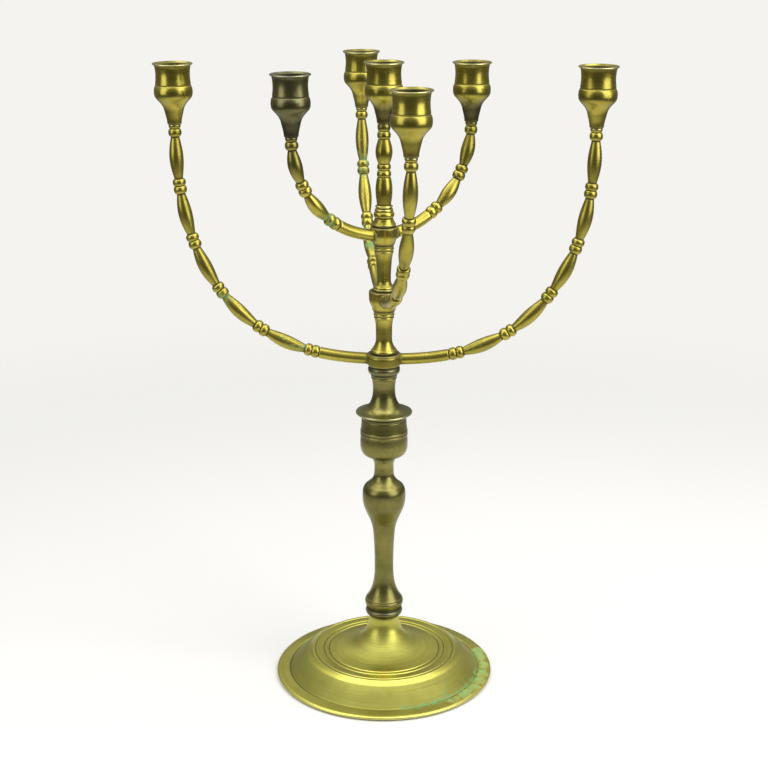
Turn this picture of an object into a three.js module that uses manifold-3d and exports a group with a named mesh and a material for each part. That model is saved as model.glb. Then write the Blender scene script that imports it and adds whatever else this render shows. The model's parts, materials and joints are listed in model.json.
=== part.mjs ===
// A tabletop candelabra in turned and cast brass: seven candle cups on a central stem.
//
// Every piece is turned on a lathe. The stem pieces are threaded over one tie rod and clamped
// by a nut under the base. Three hubs in that stack each carry one pair of bent arms, and a
// pair can be swung round the stem. Threads are left out: studs and rods are plain pins.
//
// Units are millimetres and +Z is up. The origin is the centre of the base's underside, and
// the outer pair of arms lies along X.

import * as THREE from 'three';
import { mergeVertices } from 'three/addons/utils/BufferGeometryUtils.js';
import Module from 'manifold-3d';

const wasm = await Module();
wasm.setup();

// ---------------------------------------------------------------- driving dimensions

const SEAM = 0.3; // gap between two pieces that are clamped or screwed together
const FIT = 0.3; // radial clearance of a pin in its hole

const rod = { radius: 2.5, below: 4, grip: 11 };
const nut = { acrossCorners: 8.9, height: 4 };
const washer = { radius: 8, height: 1.2 };

const base = {
  radius: 80,
  edge: 3.4, // thickness of the rim
  rim: 8.8, // width of the flat rim
  landRadius: 54.6, // outer edge of the raised land
  landHeight: 18.3,
  dishRadius: 41.6, // where the land turns up into the neck
  neckRadius: 10.6,
  height: 46.2,
  wall: 3,
  shelf: 30, // height of the nut's seat inside the hollow
  shelfRadius: 11,
};

const footRing = { radius: 13.8, height: 6.6 };
const baluster = {
  height: 119,
  foot: 14.2,
  footHeight: 8,
  waist: 7,
  waistAt: 33,
  swell: 15.9,
  swellAt: 91,
  neck: 7,
  top: 8.6,
};
const knop = { height: 31.3, seat: 9, radius: 17.3, mouth: 16.2, shoulder: 10.5 };
const trumpet = { height: 31.7, flange: 20.5, flangeHeight: 4.2, waist: 8, top: 8.9 };
const collar = { radius: 11.5, height: 6 };

const outerHub = { radius: 11.9, height: 9, barAt: 4.5, chamfer: 0.7 };
const lowerSpacer = { height: 31.1, foot: 9.4, waist: 5.8, waistAt: 16, head: 8 };
const middleHub = { foot: 8.2, radius: 10.8, height: 14.5, barAt: 8.4 };
const upperSpacer = { height: 32.8, foot: 8.2, waist: 4.8, waistAt: 11, head: 7.2 };
const innerHub = { foot: 7.8, radius: 9.7, height: 12.6, barAt: 6.8 };

const topSpindle = { height: 71.4, foot: 8.4, vase: 5.4, oval: 5.4, neck: 3.4 };

const bar = { radius: 4.1, tenonRadius: 2.8, tenonLength: 4.5 };
const bead = { radius: 4.5, length: 5.4, neck: 3.3, topPair: 8.3 }; // topPair: both under a cup
const spindle = { radius: 4.8, end: 3 };
const stud = { radius: 2, length: 5 };

const cup = {
  height: 42,
  foot: 4.9,
  swell: 13.3,
  swellAt: 21.5,
  waist: 11.9,
  rim: 13.9,
  bore: 11, // takes a candle 22 mm across
  depth: 24,
};

// reach: stem axis to cup axis; rise: bar centre to cup seat; fullness: 2 is an ellipse, more is
// squarer; pitch: from one pair of beads to the next; turn: where the first arm points, in degrees
const outerTier = { reach: 145, rise: 166.6, fullness: 2.5, spindles: 5, pitch: 40, turn: 180 };
const middleTier = { reach: 113, rise: 119.4, fullness: 2, spindles: 3, pitch: 42, turn: -78 };
const innerTier = { reach: 71, rise: 73.6, fullness: 2, spindles: 2, pitch: 33.5, turn: 213 };

// how finely round shapes are cut up
const AROUND = { broad: 28, stem: 16, cup: 12, arm: 8, pin: 10 };

// ---------------------------------------------------------------- materials

const brassColours = { golden: 0xb3a04a, aged: 0x8f8344, steel: 0x77746c };
const finish = (colour, roughness) =>
  new THREE.MeshStandardMaterial({ color: colour, metalness: 1, roughness });

// ---------------------------------------------------------------- turning

// The outline of a turned piece, drawn upwards from its foot. x is the radius.
class Outline {
  constructor(radius, height) {
    this.points = [new THREE.Vector2(radius, height)];
  }

  get tip() {
    return this.points[this.points.length - 1];
  }

  line(radius, height) {
    this.points.push(new THREE.Vector2(radius, height));
    return this;
  }

  // A stretch from the tip to (radius, height): at(t) gives how far along each way it is.
  stretch(radius, height, steps, at) {
    const from = this.tip.clone();
    for (let i = 1; i <= steps; i += 1) {
      const [out, up] = at(i / steps);
      this.line(
        THREE.MathUtils.lerp(from.x, radius, out),
        THREE.MathUtils.lerp(from.y, height, up),
      );
    }
    return this;
  }

  // Leaves flat and arrives upright, as a quarter of an ellipse.
  quarter(radius, height, steps = 4) {
    const angle = (t) => (t * Math.PI) / 2;
    return this.stretch(radius, height, steps, (t) => [Math.sin(angle(t)), 1 - Math.cos(angle(t))]);
  }

  // Leaves and arrives upright, as an S.
  sweep(radius, height, steps = 5) {
    return this.stretch(radius, height, steps, (t) => [(1 - Math.cos(t * Math.PI)) / 2, t]);
  }

  // Bows out to `widest` halfway up, and back in at `height`.
  bow(widest, height, steps = 4, end = this.tip.x) {
    const start = this.tip.clone();
    for (let i = 1; i <= steps; i += 1) {
      const t = i / steps;
      const straight = THREE.MathUtils.lerp(start.x, end, t);
      const swell = widest - (start.x + end) / 2;
      this.line(straight + swell * Math.sin(t * Math.PI), THREE.MathUtils.lerp(start.y, height, t));
    }
    return this;
  }

  // A shallow turned groove just above the tip.
  groove(width = 1, depth = 0.6) {
    const { x, y } = this.tip;
    return this.line(x - depth, y + width / 2).line(x, y + width);
  }
}

// Turns an outline round the Z axis. It starts and ends on the axis, or closes on itself.
function turned(points, segments) {
  const geometry = new THREE.LatheGeometry(points, segments);
  geometry.rotateX(Math.PI / 2);
  return geometry;
}

// A turned piece with the tie rod's hole through it.
function turnedOverRod(outline, segments = AROUND.stem) {
  const hole = rod.radius + FIT;
  const { points, tip } = outline;
  const start = new THREE.Vector2(hole, points[0].y);
  return turned([start, ...points, new THREE.Vector2(hole, tip.y), start.clone()], segments);
}

function pin(radius, length, segments = AROUND.pin) {
  const geometry = new THREE.CylinderGeometry(radius, radius, length, segments);
  geometry.rotateX(Math.PI / 2);
  geometry.translate(0, 0, length / 2);
  return geometry;
}

// ---------------------------------------------------------------- cutting and joining

function toSolid(geometry) {
  const bare = geometry.clone();
  bare.deleteAttribute('normal');
  bare.deleteAttribute('uv');
  const merged = mergeVertices(bare, 1e-4);
  return new wasm.Manifold(new wasm.Mesh({
    numProp: 3,
    vertProperties: Float32Array.from(merged.attributes.position.array),
    triVerts: Uint32Array.from(merged.index.array),
  }));
}

function toGeometry(solid) {
  const mesh = solid.getMesh();
  const geometry = new THREE.BufferGeometry();
  geometry.setAttribute('position', new THREE.BufferAttribute(mesh.vertProperties, 3));
  geometry.setIndex(new THREE.BufferAttribute(mesh.triVerts, 1));
  geometry.computeVertexNormals();
  return geometry;
}

// ---------------------------------------------------------------- stem pieces

function baseGeometry() {
  const { radius, edge, rim, landRadius, landHeight, dishRadius, neckRadius, height } = base;
  const { wall, shelf, shelfRadius } = base;
  const bevel = edge / 4;
  const slopeFoot = radius - rim;
  const groove = 0.8;
  const outer = new Outline(radius - bevel, 0)
    .line(radius, bevel)
    .line(radius, edge - bevel)
    .line(radius - bevel, edge)
    .line(slopeFoot + groove, edge + bevel)
    .line(slopeFoot, edge)
    .line(slopeFoot - groove, edge + bevel)
    .bow((slopeFoot + landRadius) / 2 - groove, landHeight - groove, 2, landRadius + groove)
    .line(landRadius, landHeight)
    .line(dishRadius + 5 * groove, landHeight)
    .line(dishRadius + 4.5 * groove, landHeight - groove)
    .line(dishRadius + 4 * groove, landHeight)
    .line(dishRadius, landHeight)
    .line(dishRadius - groove / 2, landHeight - groove)
    .line(dishRadius - groove, landHeight)
    .quarter(neckRadius, height, 6);
  const hole = rod.radius + FIT;
  const inner = new Outline(slopeFoot - wall / 2, 0)
    .line(slopeFoot - 1.5 * wall, edge)
    .line(landRadius - wall, landHeight - wall)
    .line(dishRadius - wall, landHeight - wall)
    .quarter(shelfRadius, shelf, 3)
    .line(hole, shelf)
    .line(hole, height);
  const loop = [...inner.points.reverse(), ...outer.points, inner.points[0].clone()];
  return turned(loop, AROUND.broad);
}

function footRingGeometry() {
  const { radius, height } = footRing;
  return turnedOverRod(new Outline(0.8 * radius, 0).bow(radius, height, 4));
}

function balusterGeometry() {
  const { height, foot, footHeight, waist, waistAt, swell, swellAt, neck, top } = baluster;
  const neckAt = (swellAt + 2 * height) / 3;
  return turnedOverRod(
    new Outline(0.86 * foot, 0)
      .bow(foot, 0.75 * footHeight, 4, 0.93 * foot)
      .line(0.98 * foot, footHeight)
      .quarter(waist, waistAt, 4)
      .line(1.05 * waist, waistAt + (swellAt - waistAt) / 4)
      .sweep(swell, swellAt, 5)
      .sweep(neck, neckAt, 4)
      .line(top, height),
  );
}

function knopGeometry() {
  const { height, seat, radius, mouth, shoulder } = knop;
  const grooveWidth = 1;
  const grooveGap = 1.6;
  return turnedOverRod(
    new Outline(seat, 0)
      .quarter(radius, shoulder, 4)
      .line(0.985 * radius, 0.6 * height)
      .groove(grooveWidth)
      .line(0.98 * radius, 0.6 * height + grooveWidth + grooveGap)
      .groove(grooveWidth)
      .line(mouth, 0.87 * height)
      .line(mouth, height),
  );
}

function trumpetGeometry() {
  const { height, flange, flangeHeight, waist, top } = trumpet;
  return turnedOverRod(
    new Outline(0.8 * flange, 0)
      .line(0.95 * flange, 0.15 * flangeHeight)
      .bow(flange, 0.8 * flangeHeight, 3)
      .line(0.8 * flange, flangeHeight)
      .quarter(waist, 0.67 * height, 6)
      .line(waist, 0.8 * height)
      .line(top, height),
  );
}

function collarGeometry() {
  const { radius, height } = collar;
  return turnedOverRod(new Outline(0.88 * radius, 0).bow(radius, height, 4));
}

function lowerSpacerGeometry() {
  const { height, foot, waist, waistAt, head } = lowerSpacer;
  return turnedOverRod(
    new Outline(foot, 0)
      .line(foot, 2)
      .line(0.93 * foot, 3)
      .groove()
      .quarter(waist, waistAt, 4)
      .sweep(0.9 * head, 0.86 * height, 4)
      .groove()
      .groove()
      .line(head, height),
  );
}

function upperSpacerGeometry() {
  const { height, foot, waist, waistAt, head } = upperSpacer;
  return turnedOverRod(
    new Outline(foot, 0)
      .line(0.93 * foot, 1.5)
      .quarter(waist, waistAt, 4)
      .line(waist, 0.5 * height)
      .sweep(0.93 * head, 0.82 * height, 4)
      .groove(1.4, 0.5)
      .groove(1.4, 0.5)
      .line(head, height),
  );
}

function topSpindleGeometry() {
  const { height, foot, vase, oval, neck } = topSpindle;
  const holeDepth = rod.grip;
  const outline = new Outline(0.95 * foot, 0)
    .bow(foot, 0.05 * height, 2)
    .line(0.78 * foot, 0.06 * height)
    .bow(0.86 * foot, 0.13 * height, 3)
    .bow(0.8 * foot, 0.17 * height, 2, 0.7 * foot)
    .bow(0.76 * foot, 0.22 * height, 2, 0.55 * foot)
    .bow(vase + 0.9, 0.46 * height, 4, neck)
    .line(neck + 0.2, 0.48 * height)
    .bow(bead.radius, 0.55 * height, 2)
    .bow(bead.radius, 0.61 * height, 2)
    .bow(oval, 0.86 * height, 4)
    .bow(bead.radius, 0.93 * height, 2)
    .bow(bead.radius, height, 2);
  const hole = rod.radius + FIT;
  return turned(
    [
      new THREE.Vector2(0, holeDepth),
      new THREE.Vector2(hole, holeDepth),
      new THREE.Vector2(hole, 0),
      ...outline.points,
      new THREE.Vector2(stud.radius, height),
      new THREE.Vector2(stud.radius, height + stud.length),
      new THREE.Vector2(0, height + stud.length),
    ],
    AROUND.cup,
  );
}

// ---------------------------------------------------------------- hubs and arms

// A hub's outer outline. The same outline cuts the arms' ends to fit it.
const hubOutlines = new Map([
  [outerHub, new Outline(0.95 * outerHub.radius, 0)
    .line(outerHub.radius, outerHub.chamfer)
    .line(outerHub.radius, outerHub.height - outerHub.chamfer)
    .line(0.95 * outerHub.radius, outerHub.height)],
  [middleHub, new Outline(middleHub.foot, 0)
    .sweep(middleHub.radius, 0.65 * middleHub.height, 4)
    .line(middleHub.radius, 0.94 * middleHub.height)
    .line(0.95 * middleHub.radius, middleHub.height)],
  [innerHub, new Outline(innerHub.foot, 0)
    .bow(innerHub.radius, innerHub.height, 6, 0.9 * innerHub.radius)],
]);

// A hub with a round pocket on each side for the arms' tenons.
function hubGeometry(hub, turn) {
  let solid = toSolid(turnedOverRod(hubOutlines.get(hub)));
  const pocket = pin(bar.tenonRadius + FIT, 2 * hub.radius);
  pocket.rotateY(Math.PI / 2);
  pocket.translate(hub.radius - bar.tenonLength - SEAM, 0, hub.barAt);
  for (const side of [0, Math.PI]) {
    const aimed = pocket.clone().rotateZ(THREE.MathUtils.degToRad(turn) + side);
    solid = solid.subtract(toSolid(aimed));
  }
  return toGeometry(solid);
}

// The centre line of an arm in the XZ plane, from the stem axis to the cup's seat: a quarter of
// a superellipse, level at the stem and upright under the cup.
class ArmLine extends THREE.Curve {
  constructor({ reach, rise, fullness }) {
    super();
    Object.assign(this, { reach, rise, power: 2 / fullness, arcLengthDivisions: 400 });
  }

  getPoint(t, target = new THREE.Vector3()) {
    const angle = (t * Math.PI) / 2;
    const out = this.reach * Math.sin(angle) ** this.power;
    const up = this.rise * (1 - Math.max(Math.cos(angle), 0) ** this.power);
    return target.set(out, 0, up);
  }

  // The point and the outward normal at a distance along the line, which runs on straight at its end.
  frameAt(distance) {
    const length = this.getLength();
    const share = THREE.MathUtils.clamp(distance / length, 0, 1);
    const point = this.getPointAt(share);
    const along = this.getTangentAt(THREE.MathUtils.clamp(share, 1e-3, 1 - 1e-3));
    if (share === 1) along.set(0, 0, 1);
    point.addScaledVector(along, Math.max(distance - length, 0));
    return { point, normal: new THREE.Vector3(along.z, 0, -along.x) };
  }
}

// A pair of beads from the tip of the outline on, starting and ending at the neck between them.
function beadPair(outline) {
  outline.bow(bead.radius, outline.tip.y + bead.length, 2, bead.neck);
  return outline.bow(bead.radius, outline.tip.y + bead.length, 2);
}

// The straight turned rod that an arm is bent from, with the bar's end at height 0.
function armOutline(tier, length) {
  const topBand = 1; // the straight band that ends the top pair
  const spindleLength = tier.pitch - 2 * bead.length;
  const ornament = bead.topPair + tier.spindles * tier.pitch;
  const outline = new Outline(bar.radius, 0)
    .line(bar.radius, (length - ornament) / 2)
    .line(bar.radius, length - ornament)
    .line(bead.neck, length - ornament);
  for (let i = 0; i < tier.spindles; i += 1) {
    beadPair(outline);
    outline.line(spindle.end, outline.tip.y);
    outline.bow(spindle.radius, outline.tip.y + spindleLength, 4);
    outline.line(bead.neck, outline.tip.y);
  }
  return outline
    .bow(bead.radius, length - bead.topPair + bead.length, 2)
    .line(0.9 * bead.radius, length - topBand)
    .line(0.9 * bead.radius, length);
}

// Bends a turned rod so that its axis follows the arm's line, from `start` along it.
function bent(geometry, line, start) {
  const position = geometry.attributes.position;
  const vertex = new THREE.Vector3();
  for (let i = 0; i < position.count; i += 1) {
    vertex.fromBufferAttribute(position, i);
    const { point, normal } = line.frameAt(start + vertex.z);
    point.addScaledVector(normal, vertex.x);
    point.y += vertex.y;
    position.setXYZ(i, point.x, point.y, point.z);
  }
  return geometry;
}

// An arm that reaches out along +X from its hub, with the hub's bar height at Z = 0.
function armGeometry(tier, hub) {
  const line = new ArmLine(tier);
  const start = hub.radius - bar.tenonLength;
  const outline = armOutline(tier, line.getLength() - start);
  const top = outline.tip.y;
  const rodPoints = [
    new THREE.Vector2(0, 0),
    ...outline.points,
    new THREE.Vector2(stud.radius, top),
    new THREE.Vector2(stud.radius, top + stud.length),
    new THREE.Vector2(0, top + stud.length),
  ];
  const arm = toSolid(bent(turned(rodPoints, AROUND.arm), line, start));
  const past = 10; // how far the cutter runs past the hub's ends
  const overlap = 4; // how far the tenon runs into the bar
  const room = new Outline(0, -hub.barAt - past);
  hubOutlines.get(hub).points.forEach(({ x, y }, i, all) => {
    const beyond = (i === 0 ? -past : 0) + (i === all.length - 1 ? past : 0);
    room.line(x + SEAM, y - hub.barAt + beyond);
  });
  room.line(0, room.tip.y);
  const tenon = pin(bar.tenonRadius, bar.tenonLength + overlap, AROUND.arm);
  tenon.rotateY(Math.PI / 2);
  tenon.translate(start, 0, 0);
  return toGeometry(arm.subtract(toSolid(turned(room.points, AROUND.stem))).add(toSolid(tenon)));
}

// ---------------------------------------------------------------- cups

function cupGeometry() {
  const { height, foot, swell, swellAt, waist, rim, bore, depth } = cup;
  const studHole = stud.radius + FIT;
  const lip = 1.2;
  const outer = new Outline(foot, 0)
    .line(1.3 * foot, 0.2 * height)
    .line(1.55 * foot, 0.28 * height)
    .line(0.93 * swell, swellAt - 0.08 * height)
    .line(swell, swellAt)
    .line(waist + 0.5, 0.64 * height)
    .line(waist, 0.8 * height)
    .line(waist + 0.3, 0.9 * height)
    .line(rim, height - lip)
    .line(rim - lip / 3, height);
  return turned(
    [
      new THREE.Vector2(0, stud.length + 1),
      new THREE.Vector2(studHole, stud.length + 1),
      new THREE.Vector2(studHole, 0),
      ...outer.points,
      new THREE.Vector2(bore, height - lip),
      new THREE.Vector2(bore, height - depth),
      new THREE.Vector2(0, height - depth),
    ],
    AROUND.cup,
  );
}

// ---------------------------------------------------------------- assembly

const candelabra = new THREE.Group();
const golden = finish(brassColours.golden, 0.35);
const aged = finish(brassColours.aged, 0.45);
const steel = finish(brassColours.steel, 0.5);

function place(parent, name, geometry, material, x = 0, y = 0, z = 0) {
  const mesh = new THREE.Mesh(geometry, material);
  mesh.name = name;
  mesh.position.set(x, y, z);
  parent.add(mesh);
  return mesh;
}

place(candelabra, 'base', baseGeometry(), golden);

// The stack above the base: each piece stands a seam above the last.
const stack = [
  ['foot_ring', footRingGeometry(), aged, footRing.height],
  ['baluster', balusterGeometry(), golden, baluster.height],
  ['knop', knopGeometry(), golden, knop.height],
  ['trumpet_neck', trumpetGeometry(), aged, trumpet.height],
  ['collar', collarGeometry(), aged, collar.height],
  ['outer_hub', hubGeometry(outerHub, outerTier.turn), golden, outerHub.height],
  ['lower_spacer', lowerSpacerGeometry(), golden, lowerSpacer.height],
  ['middle_hub', hubGeometry(middleHub, middleTier.turn), golden, middleHub.height],
  ['upper_spacer', upperSpacerGeometry(), golden, upperSpacer.height],
  ['inner_hub', hubGeometry(innerHub, innerTier.turn), golden, innerHub.height],
  ['top_spindle', topSpindleGeometry(), golden, topSpindle.height],
];
const levels = {};
let level = base.height;
for (const [name, geometry, material, height] of stack) {
  levels[name] = level + SEAM;
  place(candelabra, name, geometry, material, 0, 0, levels[name]);
  level = levels[name] + height;
}
place(candelabra, 'centre_cup', cupGeometry(), aged, 0, 0, level + SEAM);

// Under the base: the washer and nut that clamp the stack, and the tie rod through it.
const washerAt = base.shelf - SEAM - washer.height;
const nutAt = washerAt - SEAM - nut.height;
const rodFoot = nutAt - rod.below;
const rodTop = levels.top_spindle + rod.grip - SEAM;

function washerGeometry() {
  return turnedOverRod(new Outline(washer.radius, 0).line(washer.radius, washer.height));
}

function nutGeometry() {
  const hexagon = toSolid(pin(nut.acrossCorners / 2, nut.height, 6));
  const hole = pin(rod.radius + FIT, 3 * nut.height);
  hole.translate(0, 0, -nut.height);
  return toGeometry(hexagon.subtract(toSolid(hole)));
}

place(candelabra, 'base_washer', washerGeometry(), steel, 0, 0, washerAt);
place(candelabra, 'base_nut', nutGeometry(), steel, 0, 0, nutAt);
place(candelabra, 'tie_rod', pin(rod.radius, rodTop - rodFoot), steel, 0, 0, rodFoot);

// Three tiers: a pair of arms on one hub, each with its cup, opposite each other.
function addTier(name, tier, hub, hubLevel, sides) {
  sides.forEach((side, i) => {
    const spoke = new THREE.Group();
    spoke.position.z = hubLevel + hub.barAt;
    spoke.rotation.z = THREE.MathUtils.degToRad(tier.turn + 180 * i);
    candelabra.add(spoke);
    place(spoke, `${name}_arm_${side}`, armGeometry(tier, hub), i === 0 ? golden : aged);
    place(spoke, `${name}_cup_${side}`, cupGeometry(), golden, tier.reach, 0, tier.rise + SEAM);
  });
}

addTier('outer', outerTier, outerHub, levels.outer_hub, ['left', 'right']);
addTier('middle', middleTier, middleHub, levels.middle_hub, ['front', 'back']);
addTier('inner', innerTier, innerHub, levels.inner_hub, ['left', 'right']);

export default candelabra;
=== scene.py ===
"""A seven-light candelabra in turned brass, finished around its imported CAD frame.

Every piece is turned from an outline, as on the real lathe, and stands for the CAD node of the
same name. Sizes are in millimetres until a mesh is made, and places come from the frame.
"""

import json
import logging
import math
from collections.abc import Callable, Iterable, Mapping
from dataclasses import dataclass
from enum import Enum

import bpy
import numpy as np
from mathutils import Euler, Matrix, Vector


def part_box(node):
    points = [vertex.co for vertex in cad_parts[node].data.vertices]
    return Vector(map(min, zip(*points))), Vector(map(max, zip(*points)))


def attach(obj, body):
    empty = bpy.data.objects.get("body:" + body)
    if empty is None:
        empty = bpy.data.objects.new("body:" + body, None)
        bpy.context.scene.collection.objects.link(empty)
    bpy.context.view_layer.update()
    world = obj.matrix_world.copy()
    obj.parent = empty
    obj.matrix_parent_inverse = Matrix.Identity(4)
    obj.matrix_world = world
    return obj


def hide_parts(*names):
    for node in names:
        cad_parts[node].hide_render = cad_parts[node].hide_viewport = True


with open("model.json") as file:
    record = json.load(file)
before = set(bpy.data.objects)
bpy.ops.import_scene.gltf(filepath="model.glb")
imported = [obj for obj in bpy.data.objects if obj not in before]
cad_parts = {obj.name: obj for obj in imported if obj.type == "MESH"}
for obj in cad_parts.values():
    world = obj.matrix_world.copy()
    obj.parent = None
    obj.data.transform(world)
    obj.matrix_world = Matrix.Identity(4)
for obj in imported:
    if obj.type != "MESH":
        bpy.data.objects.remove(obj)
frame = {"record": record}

Material = bpy.types.Material
Piece = bpy.types.Object
Socket = bpy.types.NodeSocket
Tree = bpy.types.NodeTree
Dress = Mapping[str, Material]
# Gives 0 to 1, from radius and height, where a piece is darkened: dirt and painted shade.
ShadeAndGrime = Callable[[np.ndarray, np.ndarray], np.ndarray]

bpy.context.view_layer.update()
MM = 0.001

# The radius of the hole for the tie rod, and how finely outlines are drawn: the longest step of a
# curve and of an oval, all in millimetres, and the steps in a millimetre of a bead's height.
ROD_BORE = 2.9
CURVE_STEP = 1.2
OVAL_STEP = 0.9
BEAD_STEPS = 1.6

log = logging.getLogger("candelabra")


# ---------------------------------------------------------------- outlines


@dataclass
class Outline:
    """The outline of a turned piece, drawn from its foot upwards.

    Points are (radius, height) in millimetres. Each drawing method starts at the last point and
    returns the outline, so that calls can be chained.
    """

    points: list[tuple[float, float]]

    @property
    def tip(self) -> tuple[float, float]:
        """The last point."""
        return self.points[-1]

    def to(self, radius: float, height: float) -> "Outline":
        """Goes straight to a point."""
        self.points.append((radius, height))
        return self

    def curve(
        self, radius: float, height: float, leave: float, arrive: float, pull: float = 0.38
    ) -> "Outline":
        """Goes to a point in one smooth curve.

        Args:
            radius: Radius at the end.
            height: Height at the end.
            leave: Direction at the start in degrees; 0 is straight up and 90 straight outwards.
            arrive: Direction at the end, in the same way.
            pull: How far each direction holds, as a share of the straight distance.
        """
        r, z = self.tip
        distance = math.hypot(radius - r, height - z)
        reach = pull * distance
        first, last = math.radians(leave), math.radians(arrive)
        ends = [
            (r, z),
            (r + reach * math.sin(first), z + reach * math.cos(first)),
            (radius - reach * math.sin(last), height - reach * math.cos(last)),
            (radius, height),
        ]
        steps = max(6, round(distance / CURVE_STEP))
        for i in range(1, steps + 1):
            t = i / steps
            shares = ((1 - t) ** 3, 3 * t * (1 - t) ** 2, 3 * t * t * (1 - t), t**3)
            self.to(*(sum(s * end[k] for s, end in zip(shares, ends)) for k in (0, 1)))
        return self

    def bead(self, widest: float, height: float, end: float | None = None) -> "Outline":
        """Goes round a half-round bead.

        Args:
            widest: Radius at the bead's crown.
            height: Height at its upper edge.
            end: Radius at its upper edge, if that isn't the same as below.
        """
        r, z = self.tip
        end = r if end is None else end
        steps = max(8, round((height - z) * BEAD_STEPS))
        for i in range(1, steps + 1):
            angle = math.pi * (i / steps - 0.5)
            share = (1 + math.sin(angle)) / 2
            straight = r + (end - r) * share
            self.to(straight + (widest - (r + end) / 2) * math.cos(angle), z + (height - z) * share)
        return self

    def oval(self, widest: float, height: float, at: float = 0.5) -> "Outline":
        """Goes over a long oval, and back to the same radius.

        Args:
            widest: Radius where it is widest.
            height: Height at its upper end.
            at: Where it is widest, as a share of its length.
        """
        r, z = self.tip
        steps = round((height - z) / OVAL_STEP)
        bend = math.log(0.5) / math.log(at)
        for i in range(1, steps + 1):
            t = i / steps
            self.to(r + (widest - r) * math.sin(math.pi * t**bend), z + (height - z) * t)
        return self

    def ridge(self, proud: float, width: float) -> "Outline":
        """Goes over a thin half-round ring that stands proud by `proud`."""
        r, z = self.tip
        return self.bead(r + proud, z + width)

    def groove(self, depth: float, width: float) -> "Outline":
        """Goes through a turned groove, straight up the side of the piece."""
        r, z = self.tip
        return self.to(r - depth, z + width / 2).to(r, z + width)

    def bored(self) -> "Outline":
        """Closes the outline round the straight bore for the tie rod."""
        foot, top = self.points[0][1], self.tip[1]
        self.points = [(ROD_BORE, foot), *self.points, (ROD_BORE, top), (ROD_BORE, foot)]
        return self

    def softened(self) -> "Outline":
        """A new outline with its sharp corners rounded, as the polishing wheel does."""
        longest_cut, sharp = 0.22, 22.0
        kept = [self.points[0]]
        for before, at, after in zip(self.points, self.points[1:], self.points[2:]):
            back = Vector(before) - Vector(at)
            on = Vector(after) - Vector(at)
            if min(back.length, on.length) < 1e-6:
                continue
            turn = 180 - math.degrees(back.angle(on))
            if turn < sharp:
                kept.append(at)
                continue
            reach = min(longest_cut, 0.4 * back.length, 0.4 * on.length)
            first = Vector(at) + back.normalized() * reach
            last = Vector(at) + on.normalized() * reach
            middle = (first + last) / 4 + Vector(at) / 2
            kept += [tuple(first), tuple(middle), tuple(last)]
        return Outline([*kept, self.points[-1]])

    def divided(self, longest: float) -> "Outline":
        """A new outline in which no step is longer than `longest`."""
        made = [self.points[0]]
        for (r0, z0), (r1, z1) in zip(self.points, self.points[1:]):
            parts = max(1, math.ceil(math.hypot(r1 - r0, z1 - z0) / longest))
            made += [(r0 + (r1 - r0) * i / parts, z0 + (z1 - z0) * i / parts) for i in range(1, parts + 1)]
        return Outline(made)


Outlines = dict[str, Callable[[float], Outline]]


# ---------------------------------------------------------------- turned meshes


def only(piece: Piece) -> None:
    """Selects one object alone and makes it the active one."""
    bpy.ops.object.select_all(action="DESELECT")
    piece.select_set(True)
    bpy.context.view_layer.objects.active = piece


def draw_wire(name: str, points: Iterable[tuple[float, float, float]]) -> Piece:
    """Draws a wire through points by extruding one vertex.

    Args:
        name: The new object's name.
        points: Points in metres.

    Returns:
        The wire, left in edit mode with all of it selected.
    """
    bpy.ops.object.select_all(action="DESELECT")
    bpy.ops.mesh.primitive_plane_add(size=MM)
    piece = bpy.context.object
    piece.name = piece.data.name = name
    bpy.ops.object.mode_set(mode="EDIT")
    bpy.ops.mesh.select_mode(type="VERT")
    bpy.ops.mesh.select_all(action="SELECT")
    bpy.ops.mesh.merge(type="CENTER")
    last = Vector((0, 0, 0))
    for i, point in enumerate(map(Vector, points)):
        step = {"value": point - last}
        if i == 0:
            bpy.ops.transform.translate(**step)
        else:
            bpy.ops.mesh.extrude_vertices_move(TRANSFORM_OT_translate=step)
        last = point
    bpy.ops.mesh.select_all(action="SELECT")
    return piece


def relief(points: np.ndarray) -> np.ndarray:
    """How far each point of an outline stands proud of its surroundings.

    Args:
        points: The outline's points, one (radius, height) a row, in millimetres.

    Returns:
        Millimetres, above 0 on an edge or a crown and below 0 in a groove.
    """
    steps = np.linalg.norm(np.diff(points, axis=0), axis=1)
    along = np.concatenate([[0], np.cumsum(steps)])
    surroundings, ticks = 1.4, 13
    around = along[:, None] + np.linspace(-surroundings, surroundings, ticks)
    mean = np.stack([np.interp(around, along, points[:, k]).mean(1) for k in (0, 1)], 1)
    tangent = np.gradient(points, axis=0)
    tangent /= np.maximum(np.linalg.norm(tangent, axis=1, keepdims=True), 1e-9)
    normal = np.stack([tangent[:, 1], -tangent[:, 0]], 1)
    return ((points - mean) * normal).sum(1)


def write_attribute(piece: Piece, name: str, values: np.ndarray) -> None:
    """Writes one number to each vertex of a piece, for its material to read."""
    attribute = piece.data.attributes.new(name, "FLOAT", "POINT")
    attribute.data.foreach_set("value", np.asarray(values, np.float32))


class Smoothness(Enum):
    """How many sides a turned piece has round it."""

    BROAD = 224
    STEM = 96
    ARM = 48
    HIDDEN = 32


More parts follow.
